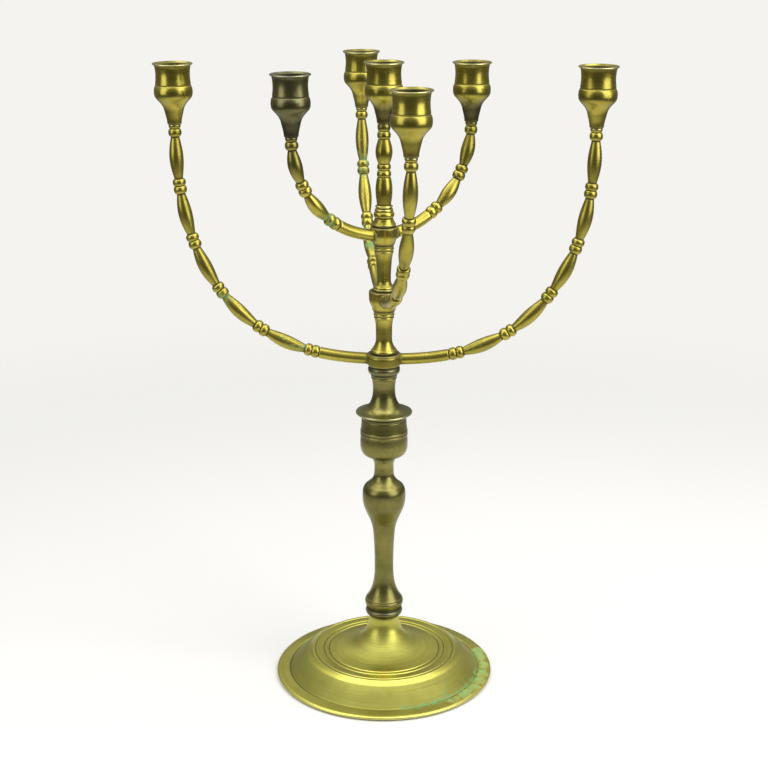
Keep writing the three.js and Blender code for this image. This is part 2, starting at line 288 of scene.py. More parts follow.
def turn(
    name: str,
    outline: Outline,
    sides: Smoothness,
    longest: float = 1.5,
    shade_and_grime: ShadeAndGrime | None = None,
) -> Piece:
    """Turns a piece from its outline, and marks where it wears and where it is darkened with dirt and
    painted shade.

    Args:
        name: The piece's name.
        outline: Starts and ends on the axis, or closes on itself.
        sides: How many sides the round has.
        longest: The longest step along the outline, in millimetres.
        shade_and_grime: Gives 0 to 1, from radius and height, where dirt and painted shade darken it besides
            the grooves.

    Returns:
        The piece, in metres, with the attributes along, relief and shade_and_grime, the last for dirt and
        painted shade.
    """
    drawn = outline.softened().divided(longest)
    joined_within, chunk, smooth_below = 0.002 * MM, 4096, math.radians(40)
    piece = draw_wire(name, ((r * MM, 0, z * MM) for r, z in drawn.points))
    bpy.ops.mesh.spin(steps=sides.value, angle=math.tau, center=(0, 0, 0), axis=(0, 0, 1))
    bpy.ops.mesh.select_all(action="SELECT")
    bpy.ops.mesh.remove_doubles(threshold=joined_within)
    bpy.ops.mesh.normals_make_consistent(inside=False)
    bpy.ops.object.mode_set(mode="OBJECT")

    points = np.array(drawn.points)
    vertices = np.array([v.co for v in piece.data.vertices]) / MM
    place = np.stack([np.hypot(vertices[:, 0], vertices[:, 1]), vertices[:, 2]], 1)
    nearest = np.empty(len(place), int)
    for i in range(0, len(place), chunk):
        part = place[i : i + chunk]
        nearest[i : i + chunk] = ((part[:, None] - points) ** 2).sum(2).argmin(1)
    along = np.concatenate([[0], np.cumsum(np.linalg.norm(np.diff(points, axis=0), axis=1))])
    write_attribute(piece, "along", along[nearest])
    write_attribute(piece, "relief", relief(points)[nearest])
    # Dirt and painted shade: where the piece is darkened, in seams, hollows and bores.
    shade_and_dirt = np.zeros(len(points)) if shade_and_grime is None else shade_and_grime(points[:, 0], points[:, 1])
    write_attribute(piece, "shade_and_grime", np.clip(shade_and_dirt, 0, 1)[nearest])
    only(piece)
    bpy.ops.object.shade_smooth_by_angle(angle=smooth_below)
    return piece


def bake_in(piece: Piece) -> Piece:
    """Puts a piece's place and turn into its mesh, so that its object sits at the origin."""
    only(piece)
    bpy.ops.object.transform_apply(location=True, rotation=True, scale=True)
    return piece


def copy_of(piece: Piece, name: str) -> Piece:
    """Copies a piece with a mesh of its own."""
    only(piece)
    bpy.ops.object.duplicate(linked=False)
    made = bpy.context.object
    made.name = made.data.name = name
    return made


def seam_shade(height: float) -> ShadeAndGrime:
    """Painted shade in the seams where a piece `height` tall meets the pieces below and above it."""
    amount, reach = 0.9, 1.6
    return lambda _, z: amount * np.clip(1 - np.minimum(np.abs(z), np.abs(height - z)) / reach, 0, 1)


# ---------------------------------------------------------------- shader nodes


def linear(colour: str) -> tuple[float, float, float, float]:
    """Turns an sRGB hex colour into linear RGBA."""
    parts = [int(colour[i : i + 2], 16) / 255 for i in (1, 3, 5)]
    return (*(p / 12.92 if p <= 0.04045 else ((p + 0.055) / 1.055) ** 2.4 for p in parts), 1.0)


def add_node(
    tree: Tree, kind: str, inputs: Mapping[str | int, object] | None = None, **settings: object
) -> bpy.types.Node:
    """Adds a node with its settings and links.

    Args:
        tree: The tree that it goes in.
        kind: Blender's name for the node's type.
        inputs: For each input socket, another node's output socket or a value.
        **settings: The node's own properties.

    Returns:
        The new node.
    """
    node = tree.nodes.new(kind)
    for name, value in settings.items():
        setattr(node, name, value)
    for socket, value in (inputs or {}).items():
        if isinstance(value, Socket):
            tree.links.new(value, node.inputs[socket])
        else:
            node.inputs[socket].default_value = value
    return node


def sums(tree: Tree, operation: str, *values: object, clamp: bool = False) -> Socket:
    """Does one sum on numbers, and gives the socket of its result."""
    made = add_node(tree, "ShaderNodeMath", dict(enumerate(values)), operation=operation, use_clamp=clamp)
    return made.outputs[0]


def span(
    tree: Tree,
    value: Socket,
    found: tuple[float, float],
    given: tuple[float, float],
    kind: str = "LINEAR",
) -> Socket:
    """Carries one span of a number over to another, and holds it at the ends.

    Args:
        tree: The tree that it goes in.
        value: The number.
        found: The span that it is in.
        given: What the ends of that span become.
        kind: Blender's name for the way between them.

    Returns:
        The socket of the result.
    """
    ends = {0: value, 1: found[0], 2: found[1], 3: given[0], 4: given[1]}
    return add_node(tree, "ShaderNodeMapRange", ends, interpolation_type=kind).outputs[0]


def noise(tree: Tree, place: Socket, size: float, detail: float, rough: float = 0.5) -> Socket:
    """Noise with blobs about `size` across, in the unit of `place`."""
    inputs = {"Vector": place, "Scale": 1 / size, "Detail": detail, "Roughness": rough}
    return add_node(tree, "ShaderNodeTexNoise", inputs).outputs[0]


def blend(tree: Tree, share: object, first: object, second: object) -> Socket:
    """Mixes two colours, and gives the socket of the result."""
    return add_node(tree, "ShaderNodeMix", {0: share, 6: first, 7: second}, data_type="RGBA").outputs[2]


def between(tree: Tree, share: object, first: object, second: object) -> Socket:
    """Mixes two numbers, and gives the socket of the result."""
    return add_node(tree, "ShaderNodeMix", {0: share, 2: first, 3: second}, data_type="FLOAT").outputs[0]


def new_material(name: str) -> tuple[Material, Tree, Socket]:
    """Makes an empty material, and gives it with its tree and the place on the piece, in metres."""
    made = bpy.data.materials.new(name)
    made.use_nodes = True
    tree = made.node_tree
    tree.nodes.clear()
    return made, tree, add_node(tree, "ShaderNodeTexCoord").outputs["Object"]


# ---------------------------------------------------------------- finishes


@dataclass(frozen=True)
class Patch:
    """A patch of the surface, all within a ball, where something has settled or been rubbed off.

    Attributes:
        centre: The ball's middle in the frame, in millimetres.
        reach: The ball's radius in millimetres.
        amount: How strong it is in the middle, 0 to 1.
    """

    centre: tuple[float, float, float]
    reach: float
    amount: float

    @classmethod
    def round_stem(cls, radius: float, turned: float, height: float, reach: float, amount: float) -> "Patch":
        """Places a patch by its distance from the stem's axis and its direction round it.

        Args:
            radius: Distance from the axis in millimetres.
            turned: Direction in degrees round the stem from +X.
            height: Height in millimetres.
            reach: The ball's radius in millimetres.
            amount: How strong it is in the middle, 0 to 1.
        """
        angle = math.radians(turned)
        return cls((radius * math.cos(angle), radius * math.sin(angle), height), reach, amount)

    def share(self, tree: Tree, place: Socket) -> Socket:
        """How strong the patch is at a place: full in its middle third, then fading to its edge."""
        centre = tuple(c * MM for c in self.centre)
        gap = add_node(tree, "ShaderNodeVectorMath", {0: place, 1: centre}, operation="DISTANCE").outputs[1]
        edge = self.reach * MM
        return span(tree, gap, (edge, 0.3 * edge), (0.0, self.amount), "SMOOTHSTEP")


def strongest(tree: Tree, place: Socket, patches: Iterable[Patch]) -> Socket | float:
    """How strong the strongest of some patches is at a place."""
    total = 0.0
    for patch in patches:
        total = sums(tree, "MAXIMUM", total, patch.share(tree, place))
    return total


@dataclass(frozen=True)
class TurnedBrass:
    """Cast brass, turned, polished long ago and left to tarnish.

    Bare brass reflects yellow. A thin oxide film dulls and browns it in blotches, grooves and seams are
    darkened with dirt and painted shade, and handled edges are paled, as wear and as a painted highlight.

    Attributes:
        name: The material's name.
        bright: Colour of the bare metal.
        dull: Colour under the oxide film.
        shade_and_dirt: Colour that grooves, seams and hollows are darkened towards, for dirt and painted
            shade.
        edge: Colour of the edges that are rubbed most, which also paints a highlight on crests and rims.
        film: Share of the surface that the film covers, 0 to 1.
        gloss: Roughness of the bare metal.
        satin: Roughness that the film adds.
        marks: How deep the lathe's marks look, 0 to 1.
        marks_gap: Distance between lathe marks in millimetres. Real ones are about 0.1 mm apart,
            which is too fine to show, so they are drawn several times coarser.
        stretch: How far the marks stretch highlights across them, 0 to 1.
        verdigris: Where damp has left a green crust.
        painted_shade: Where a dark brown-grey is painted on as shade.
        painted_highlight: Where a pale silvery highlight is painted on.
    """

    name: str
    bright: str = "#c2b553"
    dull: str = "#7f7630"
    shade_and_dirt: str = "#1f2009"
    edge: str = "#cfcfa0"
    film: float = 0.45
    gloss: float = 0.22
    satin: float = 0.1
    marks: float = 0.25
    marks_gap: float = 1.6
    stretch: float = 0.3
    verdigris: tuple[Patch, ...] = ()
    painted_shade: tuple[Patch, ...] = ()
    painted_highlight: tuple[Patch, ...] = ()

    def material(self) -> Material:
        """Builds the material."""
        made, tree, place = new_material(self.name)
        along, proud, shade_and_grime = (
            add_node(tree, "ShaderNodeAttribute", attribute_name=name).outputs["Fac"]
            for name in ("along", "relief", "shade_and_grime")
        )
        marks = self._marks(tree, place, along)
        # Crests and rims are paled: handled wear, and a painted highlight as well.
        worn_and_highlit = span(tree, proud, (0.16, 0.42), (0.0, 1.0))
        # Grooves and the piece's mask are darkened: dirt, and painted shade as well.
        shade_and_dirt = sums(tree, "MAXIMUM", span(tree, proud, (-0.06, -0.3), (0.0, 1.0)), shade_and_grime, clamp=True)
        film = sums(tree, "MULTIPLY_ADD", worn_and_highlit, -0.6, self._film(tree, place), clamp=True)

        colour = blend(tree, film, linear(self.bright), linear(self.dull))
        colour = blend(tree, span(tree, marks, (0.5, 0.75), (0.0, self.marks)), colour, linear(self.dull))
        # Pales the crests: rubbed wear, and a painted highlight as well.
        colour = blend(tree, span(tree, worn_and_highlit, (0.0, 1.0), (0.0, 0.55)), colour, linear(self.edge))
        # The dark patches paint shade under the cups; the pale patch paints a highlight.
        for patches, painted_colour in ((self.painted_shade, "#4a493a"), (self.painted_highlight, "#cfcdb8")):
            if patches:
                colour = blend(tree, strongest(tree, place, patches), colour, linear(painted_colour))
        # Darkens towards the dark colour: dirt and painted shade.
        colour = blend(tree, span(tree, shade_and_dirt, (0.0, 1.0), (0.0, 0.92)), colour, linear(self.shade_and_dirt))
        rough = span(tree, film, (0.0, 1.0), (self.gloss, self.gloss + self.satin))
        rough = sums(tree, "MULTIPLY_ADD", shade_and_dirt, 0.3, rough, clamp=True)
        metal = span(tree, shade_and_dirt, (0.0, 1.0), (1.0, 0.5))
        height = marks
        if self.verdigris:
            crust = self._crust(tree, place, proud)
            chalk = noise(tree, place, 2.5 * MM, 4.0)
            colour = blend(tree, crust, colour, blend(tree, chalk, linear("#2c7538"), linear("#84bd80")))
            rough = between(tree, crust, rough, 0.85)
            metal = between(tree, crust, metal, 0.0)
            height = sums(tree, "MULTIPLY_ADD", crust, 4.0, marks)
        relief_of_marks = {"Strength": 0.5 * self.marks + 0.05, "Distance": 0.03 * MM, "Height": height}
        surface = {
            "Base Color": colour,
            "Roughness": rough,
            "Metallic": metal,
            "Normal": add_node(tree, "ShaderNodeBump", relief_of_marks).outputs[0],
            "Anisotropic": self.stretch,
        }
        if self.stretch > 0:
            round_axis = add_node(tree, "ShaderNodeTangent", direction_type="RADIAL", axis="Z")
            surface["Tangent"] = round_axis.outputs[0]
        shader = add_node(tree, "ShaderNodeBsdfPrincipled", surface)
        add_node(tree, "ShaderNodeOutputMaterial", {"Surface": shader.outputs[0]})
        return made

    def _film(self, tree: Tree, place: Socket) -> Socket:
        """The oxide film: wide clouds 25 mm across, and mottling of 4 mm."""
        total = self.film
        for size, swing in ((25, 1.3), (4, 0.4)):
            clouds = span(tree, noise(tree, place, size * MM, 1.5), (0.2, 0.8), (-0.3, 0.3))
            total = sums(tree, "MULTIPLY_ADD", clouds, swing, total, clamp=True)
        return total

    def _marks(self, tree: Tree, place: Socket, along: Socket) -> Socket:
        """The lathe's marks: noise that changes fast along the outline and slowly round it."""
        parts = add_node(tree, "ShaderNodeSeparateXYZ", {0: place}).outputs
        slow_x, slow_y = (sums(tree, "MULTIPLY", parts[k], 1 / (60 * MM)) for k in (0, 1))
        fast = sums(tree, "MULTIPLY", along, 1 / self.marks_gap)
        vector = add_node(tree, "ShaderNodeCombineXYZ", {0: slow_x, 1: slow_y, 2: fast}).outputs[0]
        return noise(tree, vector, 1.0, 1.0, 0.7)

    def _crust(self, tree: Tree, place: Socket, proud: Socket) -> Socket:
        """Where verdigris has grown: specks that close up in each patch's middle and in grooves."""
        total = strongest(tree, place, self.verdigris)
        sheltered = sums(tree, "MULTIPLY_ADD", proud, -0.3, total)
        grown = sums(tree, "ADD", noise(tree, place, 5 * MM, 6.0, 0.65), sheltered)
        crust = span(tree, grown, (0.8, 1.1), (0.0, 0.8))
        return sums(tree, "MULTIPLY", crust, span(tree, total, (0.0, 0.08), (0.0, 1.0)))


@dataclass(frozen=True)
class PlainSteel:
    """Mild steel as it comes off the machine, with a dry grey skin and a little brown rust."""

    name: str = "mild_steel_machined"
    bright: str = "#8c8880"
    rust: str = "#5b3b22"

    def material(self) -> Material:
        """Builds the material."""
        made, tree, place = new_material(self.name)
        rusty = span(tree, noise(tree, place, 4 * MM, 5.0), (0.52, 0.66), (0.0, 0.8))
        surface = {
            "Base Color": blend(tree, rusty, linear(self.bright), linear(self.rust)),
            "Roughness": span(tree, rusty, (0.0, 1.0), (0.42, 0.8)),
            "Metallic": span(tree, rusty, (0.0, 1.0), (1.0, 0.3)),
        }
        shader = add_node(tree, "ShaderNodeBsdfPrincipled", surface)
        add_node(tree, "ShaderNodeOutputMaterial", {"Surface": shader.outputs[0]})
        return made


# ---------------------------------------------------------------- the frame


@dataclass(frozen=True)
class Seat:
    """Where a node of the frame stands, in millimetres.

    Attributes:
        node: The node's name.
        foot: Height of its lowest point.
        top: Height of its highest point.
        x: Middle of its box along X.
        y: Middle of its box along Y.
    """

    node: str
    foot: float
    top: float
    x: float
    y: float

    @classmethod
    def of(cls, node: str) -> "Seat":
        """Reads a node's seat from the frame."""
        low, high = (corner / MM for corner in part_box(node))
        return cls(node, low.z, high.z, (low.x + high.x) / 2, (low.y + high.y) / 2)

    @property
    def height(self) -> float:
        """How tall the node is."""
        return self.top - self.foot


BODY_OF = {node: body for body, nodes in frame["record"]["behaviour"]["bodies"].items() for node in nodes}
SLOT_OF = {part["node"]: part["material_slot"] for part in frame["record"]["subparts"]}


def stand_for(piece: Piece, node: str, material: Material) -> None:
    """Dresses a piece, and lets it ride and stand for its node of the frame."""
    piece.data.materials.clear()
    piece.data.materials.append(material)
    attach(piece, BODY_OF[node])
    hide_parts(node)
    triangles = sum(len(face.vertices) - 2 for face in piece.data.polygons)
    log.info("%s rides on %s, %d triangles", piece.name, BODY_OF[node], triangles)


@dataclass
class Foot:
    """The hollow base, and the nut and washer inside it that clamp the stem.

    Attributes:
        radius: Outer radius.
        edge: Thickness of the rim.
        groove_at: Radius of the groove between rim and slope.
        land_at: Outer radius of the raised land.
        land: Height of the land's outer edge.
        lines: Radii of the two lines engraved in the land.
        neck: Radius at the top.
        wall: Thickness of the wall.
        shelf: Height of the nut's seat.
    """

    radius: float = 80.0
    edge: float = 3.4
    groove_at: float = 71.2
    land_at: float = 54.6
    land: float = 18.0
    lines: tuple[float, float] = (45.4, 41.6)
    neck: float = 10.6
    wall: float = 3.0
    shelf: float = 30.0

    def outline(self, height: float) -> Outline:
        """The base's outline, outside and then back down the hollow."""
        line_width, line_depth = 1.3, 0.6
        made = Outline([(self.radius - 1.0, 0.0)])
        made.curve(self.radius - 0.8, self.edge, 75, -80, 0.9)
        made.to(self.groove_at + 1.0, self.edge + 0.7)
        made.to(self.groove_at, self.edge - 0.3)
        made.to(self.groove_at - 1.0, self.edge + 0.9)
        made.curve(self.land_at + 0.6, self.land - 0.6, -46, -61)
        made.to(self.land_at - 0.4, self.land + 0.4)
        for radius in (self.land_at - 2.6, *self.lines):
            made.to(radius + line_width / 2, self.land + 0.4)
            made.to(radius, self.land + 0.4 - line_depth)
            made.to(radius - line_width / 2, self.land + 0.5)
        made.curve(self.neck + 0.3, height - 2.0, -82, -7, 0.43)
        made.to(self.neck, height)
        made.to(ROD_BORE, height)
        made.to(ROD_BORE, self.shelf)
        made.to(11.0, self.shelf)
        made.curve(self.lines[1] - self.wall, self.land - self.wall, 176, 92, 0.5)
        made.to(self.land_at - self.wall / 2, self.land - self.wall)
        made.to(self.groove_at - 1.5 * self.wall, self.edge)
        made.to(self.groove_at - self.wall / 2, 0.0)
        made.to(self.radius - 1.0, 0.0)
        return made

    def build(self, brass: Material, steel: Material) -> None:
        """Builds and dresses the base, washer, nut and tie rod."""
        seat = Seat.of("base")

        def shade_and_grime(radius: np.ndarray, z: np.ndarray) -> np.ndarray:
            """Darkens the whole hollow, and paints shade thinly on the dish and in the seam at the top."""
            inside = (z < self.land - 2) & (radius < self.groove_at - 0.5) & (z < 0.6 * radius)
            dish_shade = 0.5 * np.exp(-(((radius - 23) / 9) ** 2))
            top_seam_shade = 0.8 * np.clip(1 - (seat.height - z) / 1.5, 0, 1)
            return np.where(inside, 0.55, np.maximum(dish_shade, top_seam_shade))

        base = turn("base_brass", self.outline(seat.height), Smoothness.BROAD, 1.6, shade_and_grime)
        stand_for(base, "base", brass)
        self._build_washer(steel)
        self._build_nut(steel)
        self._build_rod(steel)

    def _build_washer(self, steel: Material) -> None:
        """A plain washer with rolled edges."""
        seat = Seat.of("base_washer")
        ring = Outline([(7.9, seat.foot)]).bead(8.0, seat.top).bored()
        stand_for(turn("base_washer_steel", ring, Smoothness.HIDDEN), "base_washer", steel)

    def _build_nut(self, steel: Material) -> None:
        """A hexagon nut: a six-sided prism whose corners are turned off above and below."""
        seat = Seat.of("base_nut")
        corners, chamfer = 8.9, 0.5
        bpy.ops.object.select_all(action="DESELECT")
        bpy.ops.mesh.primitive_cylinder_add(vertices=6, radius=corners / 2 * MM, depth=seat.height * MM)
        nut = bpy.context.object
        nut.name = nut.data.name = "base_nut_steel"
        bpy.ops.object.mode_set(mode="EDIT")
        bpy.ops.mesh.select_all(action="DESELECT")
        bpy.ops.mesh.select_mode(type="FACE")
        bpy.ops.object.mode_set(mode="OBJECT")
        for face in nut.data.polygons:
            face.select = abs(face.normal.z) > 0.9
        bpy.ops.object.mode_set(mode="EDIT")
        bpy.ops.mesh.bevel(offset=chamfer * MM, segments=3, affect="EDGES")
        bpy.ops.object.mode_set(mode="OBJECT")
        bpy.ops.mesh.primitive_cylinder_add(
            vertices=48, radius=ROD_BORE * MM, depth=1.2 * seat.height * MM
        )
        bore = bpy.context.object
        only(nut)
        bpy.ops.object.modifier_add(type="BOOLEAN")
        cut = nut.modifiers[-1]
        cut.object = bore
        cut.solver = "EXACT"
        bpy.ops.object.modifier_apply(modifier=cut.name)
        bpy.data.objects.remove(bore)
        nut.location.z = (seat.foot + seat.top) / 2 * MM
        stand_for(bake_in(nut), "base_nut", steel)

    def _build_rod(self, steel: Material) -> None:
        """The tie rod, with its thread cut as rings over the last stretch at the foot."""
        seat = Seat.of("tie_rod")
        radius, threaded, chamfer = 2.5, 16.0, 0.6
        depth, lower_flank, upper_flank = 0.35, 0.4, 0.8
        rod = Outline([(0.0, seat.foot), (radius - chamfer, seat.foot)]).to(radius, seat.foot + chamfer)
        while rod.tip[1] < seat.foot + threaded:
            rod.to(radius - depth, rod.tip[1] + lower_flank)
            rod.to(radius, rod.tip[1] + upper_flank)
        rod.to(radius, seat.top).to(0.0, seat.top)
        stand_for(turn("tie_rod_steel", rod, Smoothness.HIDDEN, 12.0), "tie_rod", steel)


def build_stem_piece(node: str, outline: Callable[[float], Outline], material: Material) -> None:
    """Turns one piece of the stem and stands it on its seat.

    Args:
        node: The node that it stands for.
        outline: Gives the piece's outline for its height.
        material: Its finish.
    """
    seat = Seat.of(node)
    # The seams at both ends are darkened with painted shade.
    piece = turn(f"{node}_brass", outline(seat.height), Smoothness.STEM, 1.5, seam_shade(seat.height))
    piece.location.z = seat.foot * MM
    stand_for(bake_in(piece), node, material)


@dataclass
class StemSection:
    """Some pieces of the stem, which are all built in one way."""

    def outlines(self) -> Outlines:
        """The outline of each node, from the lowest upwards."""
        raise NotImplementedError

    def build(self, dress: Dress) -> None:
        """Builds each piece in the material that `dress` gives its node."""
        for node, outline in self.outlines().items():
            build_stem_piece(node, outline, dress[node])


@dataclass
class LowerStem(StemSection):
    """The stem from the base up to the lowest hub: ring, baluster, knop, trumpet neck, collar."""

    ring_radius: float = 13.8
    baluster_foot: float = 14.2
    baluster_waist: float = 7.0
    baluster_swell: float = 15.9
    baluster_neck: float = 7.0
    knop_radius: float = 17.3
    knop_mouth: float = 16.3
    flange_radius: float = 20.5
    trumpet_waist: float = 8.0
    collar_radius: float = 11.5

    def ring_outline(self, height: float) -> Outline:
        """A fat half-round ring between two thin steps."""
        made = Outline([(0.8 * self.ring_radius, 0.0)]).to(0.82 * self.ring_radius, 0.5)
        made.bead(self.ring_radius, 0.86 * height, 0.86 * self.ring_radius)
        return made.to(0.84 * self.ring_radius, height).bored()

    def baluster_outline(self, height: float) -> Outline:
        """Foot ring, cove, long waist, swelling and neck."""
        foot, waist, swell = self.baluster_foot, self.baluster_waist, self.baluster_swell
        made = Outline([(0.86 * foot, 0.0)])
        made.bead(foot, 6.2, 0.93 * foot)
        made.ridge(0.25, 1.2)
        made.to(0.9 * foot, 8.0)
        made.curve(waist, 31.0, -36, 0, 0.33)
        made.curve(7.6, 54.0, 0, 4)
        made.curve(10.4, 70.0, 4, 22)
        made.curve(swell, 89.0, 22, 0, 0.42)
        made.curve(14.2, 96.6, 0, -34)
        made.to(13.9, 97.0)
        made.curve(self.baluster_neck + 0.2, 107.0, -50, -2, 0.42)
        made.to(self.baluster_neck, 111.5)
        made.curve(8.6, height - 1.2, 0, 32)
        return made.to(8.7, height).bored()

    def knop_outline(self, height: float) -> Outline:
        """A drum with a rounded underside, two thin raised rings and a line under its mouth."""
        radius, mouth = self.knop_radius, self.knop_mouth
        made = Outline([(8.8, 0.0)]).to(9.0, 0.3)
        made.curve(radius, 11.0, 82, 0, 0.5)
        made.curve(radius - 0.35, 17.6, 0, -4)
        made.ridge(0.35, 1.1)
        made.to(made.tip[0] - 0.05, made.tip[1] + 1.2)
        made.ridge(0.35, 1.1)
        made.curve(mouth, height - 2.2, -4, -1)
        made.groove(0.35, 0.8)
        return made.to(mouth, height - 0.3).to(mouth - 0.5, height).bored()

    def trumpet_outline(self, height: float) -> Outline:
        """A thin flange that sweeps up into a waisted neck with a lipped top."""
        flange, waist = self.flange_radius, self.trumpet_waist
        made = Outline([(0.8 * flange, 0.0)])
        made.curve(flange - 0.3, 2.2, 80, 50)
        made.bead(flange, 3.4, flange - 0.4)
        made.to(0.86 * flange, 3.7)
        made.curve(waist, 20.5, -72, 0, 0.4)
        made.curve(8.8, height - 3.4, 0, 8)
        made.ridge(0.45, 1.4)
        made.to(9.4, height - 1.6)
        return made.to(9.6, height).bored()

    def collar_outline(self, height: float) -> Outline:
        """A dark ring: one fat bead with a narrow flat above it."""
        radius = self.collar_radius
        made = Outline([(0.86 * radius, 0.0)]).bead(radius, height - 0.8, 0.92 * radius)
        return made.to(0.92 * radius, height).bored()

    def outlines(self) -> Outlines:
        """The outline of each node, from the foot upwards."""
        return {
            "foot_ring": self.ring_outline,
            "baluster": self.baluster_outline,
            "knop": self.knop_outline,
            "trumpet_neck": self.trumpet_outline,
            "collar": self.collar_outline,
        }


@dataclass
class UpperStem(StemSection):
    """The stem pieces between and above the hubs: two waisted spacers and the top spindle."""

    lower_foot: float = 9.4
    lower_waist: float = 5.8
    lower_head: float = 8.0
    upper_foot: float = 8.2
    upper_waist: float = 4.9
    upper_head: float = 7.3
    spindle_foot: float = 8.4
    stud: float = 5.0

    def lower_outline(self, height: float) -> Outline:
        """Foot bead, waist, and two raised rings under the hub."""
        made = Outline([(0.94 * self.lower_foot, 0.0)]).bead(self.lower_foot, 2.8, 0.9 * self.lower_foot)
        made.to(0.86 * self.lower_foot, 3.4)
        made.curve(self.lower_waist, 15.0, -34, 0, 0.42)
        made.curve(0.84 * self.lower_head, height - 5.6, 0, 12, 0.42)
        for _ in range(2):
            made.ridge(0.5, 1.5)
            made.to(made.tip[0] + 0.3, made.tip[1] + 0.7)
        return made.to(0.97 * self.lower_head, height).bored()

    def upper_outline(self, height: float) -> Outline:
        """Two foot rings, a slender waist that widens upwards, and two raised rings."""
        made = Outline([(0.96 * self.upper_foot, 0.0)]).bead(self.upper_foot, 1.7, 0.88 * self.upper_foot)
        made.bead(0.9 * self.upper_foot, 3.3, 0.78 * self.upper_foot)
        made.curve(self.upper_waist, 9.0, -45, 0, 0.42)
        made.curve(5.5, 21.0, 0, 4)
        made.curve(0.88 * self.upper_head, height - 5.8, 4, 10)
        for _ in range(2):
            made.ridge(0.45, 1.5)
            made.to(made.tip[0] + 0.2, made.tip[1] + 0.8)
        return made.to(0.98 * self.upper_head, height).bored()

    def spindle_outline(self, height: float) -> Outline:
        """Flared collar, two rings, vase, two beads, oval and two beads, then the cup's stud."""
        foot = self.spindle_foot
        shoulder = height - self.stud
        made = Outline([(0.0, 11.0), (2.8, 11.0), (2.8, 0.0), (0.93 * foot, 0.0)])
        made.bead(foot, 1.8, 0.97 * foot)
        made.curve(0.79 * foot, 5.3, -30, -4)
        made.to(0.72 * foot, 5.7).to(0.72 * foot, 6.1)
        made.bead(0.87 * foot, 10.3, 0.72 * foot)
        made.bead(0.78 * foot, 12.4, 0.7 * foot)
        made.to(0.56 * foot, 12.8)
        made.bead(0.73 * foot, 14.9, 0.58 * foot)
        made.oval(5.9, 34.0, 0.54)
        made.to(4.0, 34.5)
        made.bead(5.0, 39.2, 3.6)
        made.bead(4.8, 43.6, 3.8)
        made.oval(5.9, 61.2, 0.47)
        made.bead(4.7, 66.2, 3.5)
        made.bead(4.5, shoulder - 0.4, 4.0)
        made.to(4.0, shoulder).to(2.0, shoulder)
        return made.to(2.0, height).to(0.0, height)

    def outlines(self) -> Outlines:
        """The outline of each node, from the lowest upwards."""
        return {
            "lower_spacer": self.lower_outline,
            "upper_spacer": self.upper_outline,
            "top_spindle": self.spindle_outline,
        }


@dataclass
class CandleCup:
    """A turned cup on a funnel-shaped neck, which holds a candle 22 mm across."""

    height: float = 42.0
    foot: float = 4.9
    swell: float = 13.3
    body: float = 11.9
    rim: float = 13.9
    bore: float = 11.0
    depth: float = 24.0

    def outline(self) -> Outline:
        """Neck, funnel, swelling, step, body and flared lip, then the bore."""
        made = Outline([(0.0, 6.0), (2.3, 6.0), (2.3, 0.0), (self.foot - 0.2, 0.0)])
        made.to(self.foot, 0.3)
        made.curve(6.6, 9.0, 3, 12)
        made.curve(11.3, 16.8, 12, 44, 0.4)
        made.curve(self.swell, 21.8, 44, 0, 0.4)
        made.curve(self.body + 0.45, 26.3, 0, -28, 0.4)
        made.to(self.body + 0.05, 26.7)
        made.to(self.body + 0.35, 27.3)
        made.curve(self.body - 0.15, 33.5, -8, 0)
        made.curve(self.body + 0.2, 38.2, 0, 6)
        made.curve(self.rim - 0.35, 40.6, 12, 66, 0.5)
        made.bead(self.rim, 41.5, self.rim - 0.35)
        made.curve(self.bore + 0.9, self.height - 1.2, -70, -110)
        made.to(self.bore, self.height - 1.9)
        made.to(self.bore, self.height - self.depth + 0.8)
        made.to(self.bore - 0.8, self.height - self.depth)
        return made.to(0.0, self.height - self.depth)

    def shade_and_grime(self, radius: np.ndarray, z: np.ndarray) -> np.ndarray:
        """Soot and old wax darken the bore, and painted shade darkens the seam at the foot."""
        inside = (z > self.height - self.depth - 0.1) & (radius < self.bore + 0.2)
        soot = np.where(inside, 0.95, 0.0)
        return np.maximum(soot, 0.8 * np.clip(1 - z / 1.6, 0, 1) * (radius > 2.5))

    def build(self) -> Piece:
        """Turns one cup, standing at the origin, to be copied."""
        return turn("cup_pattern", self.outline(), Smoothness.STEM, 1.3, self.shade_and_grime)


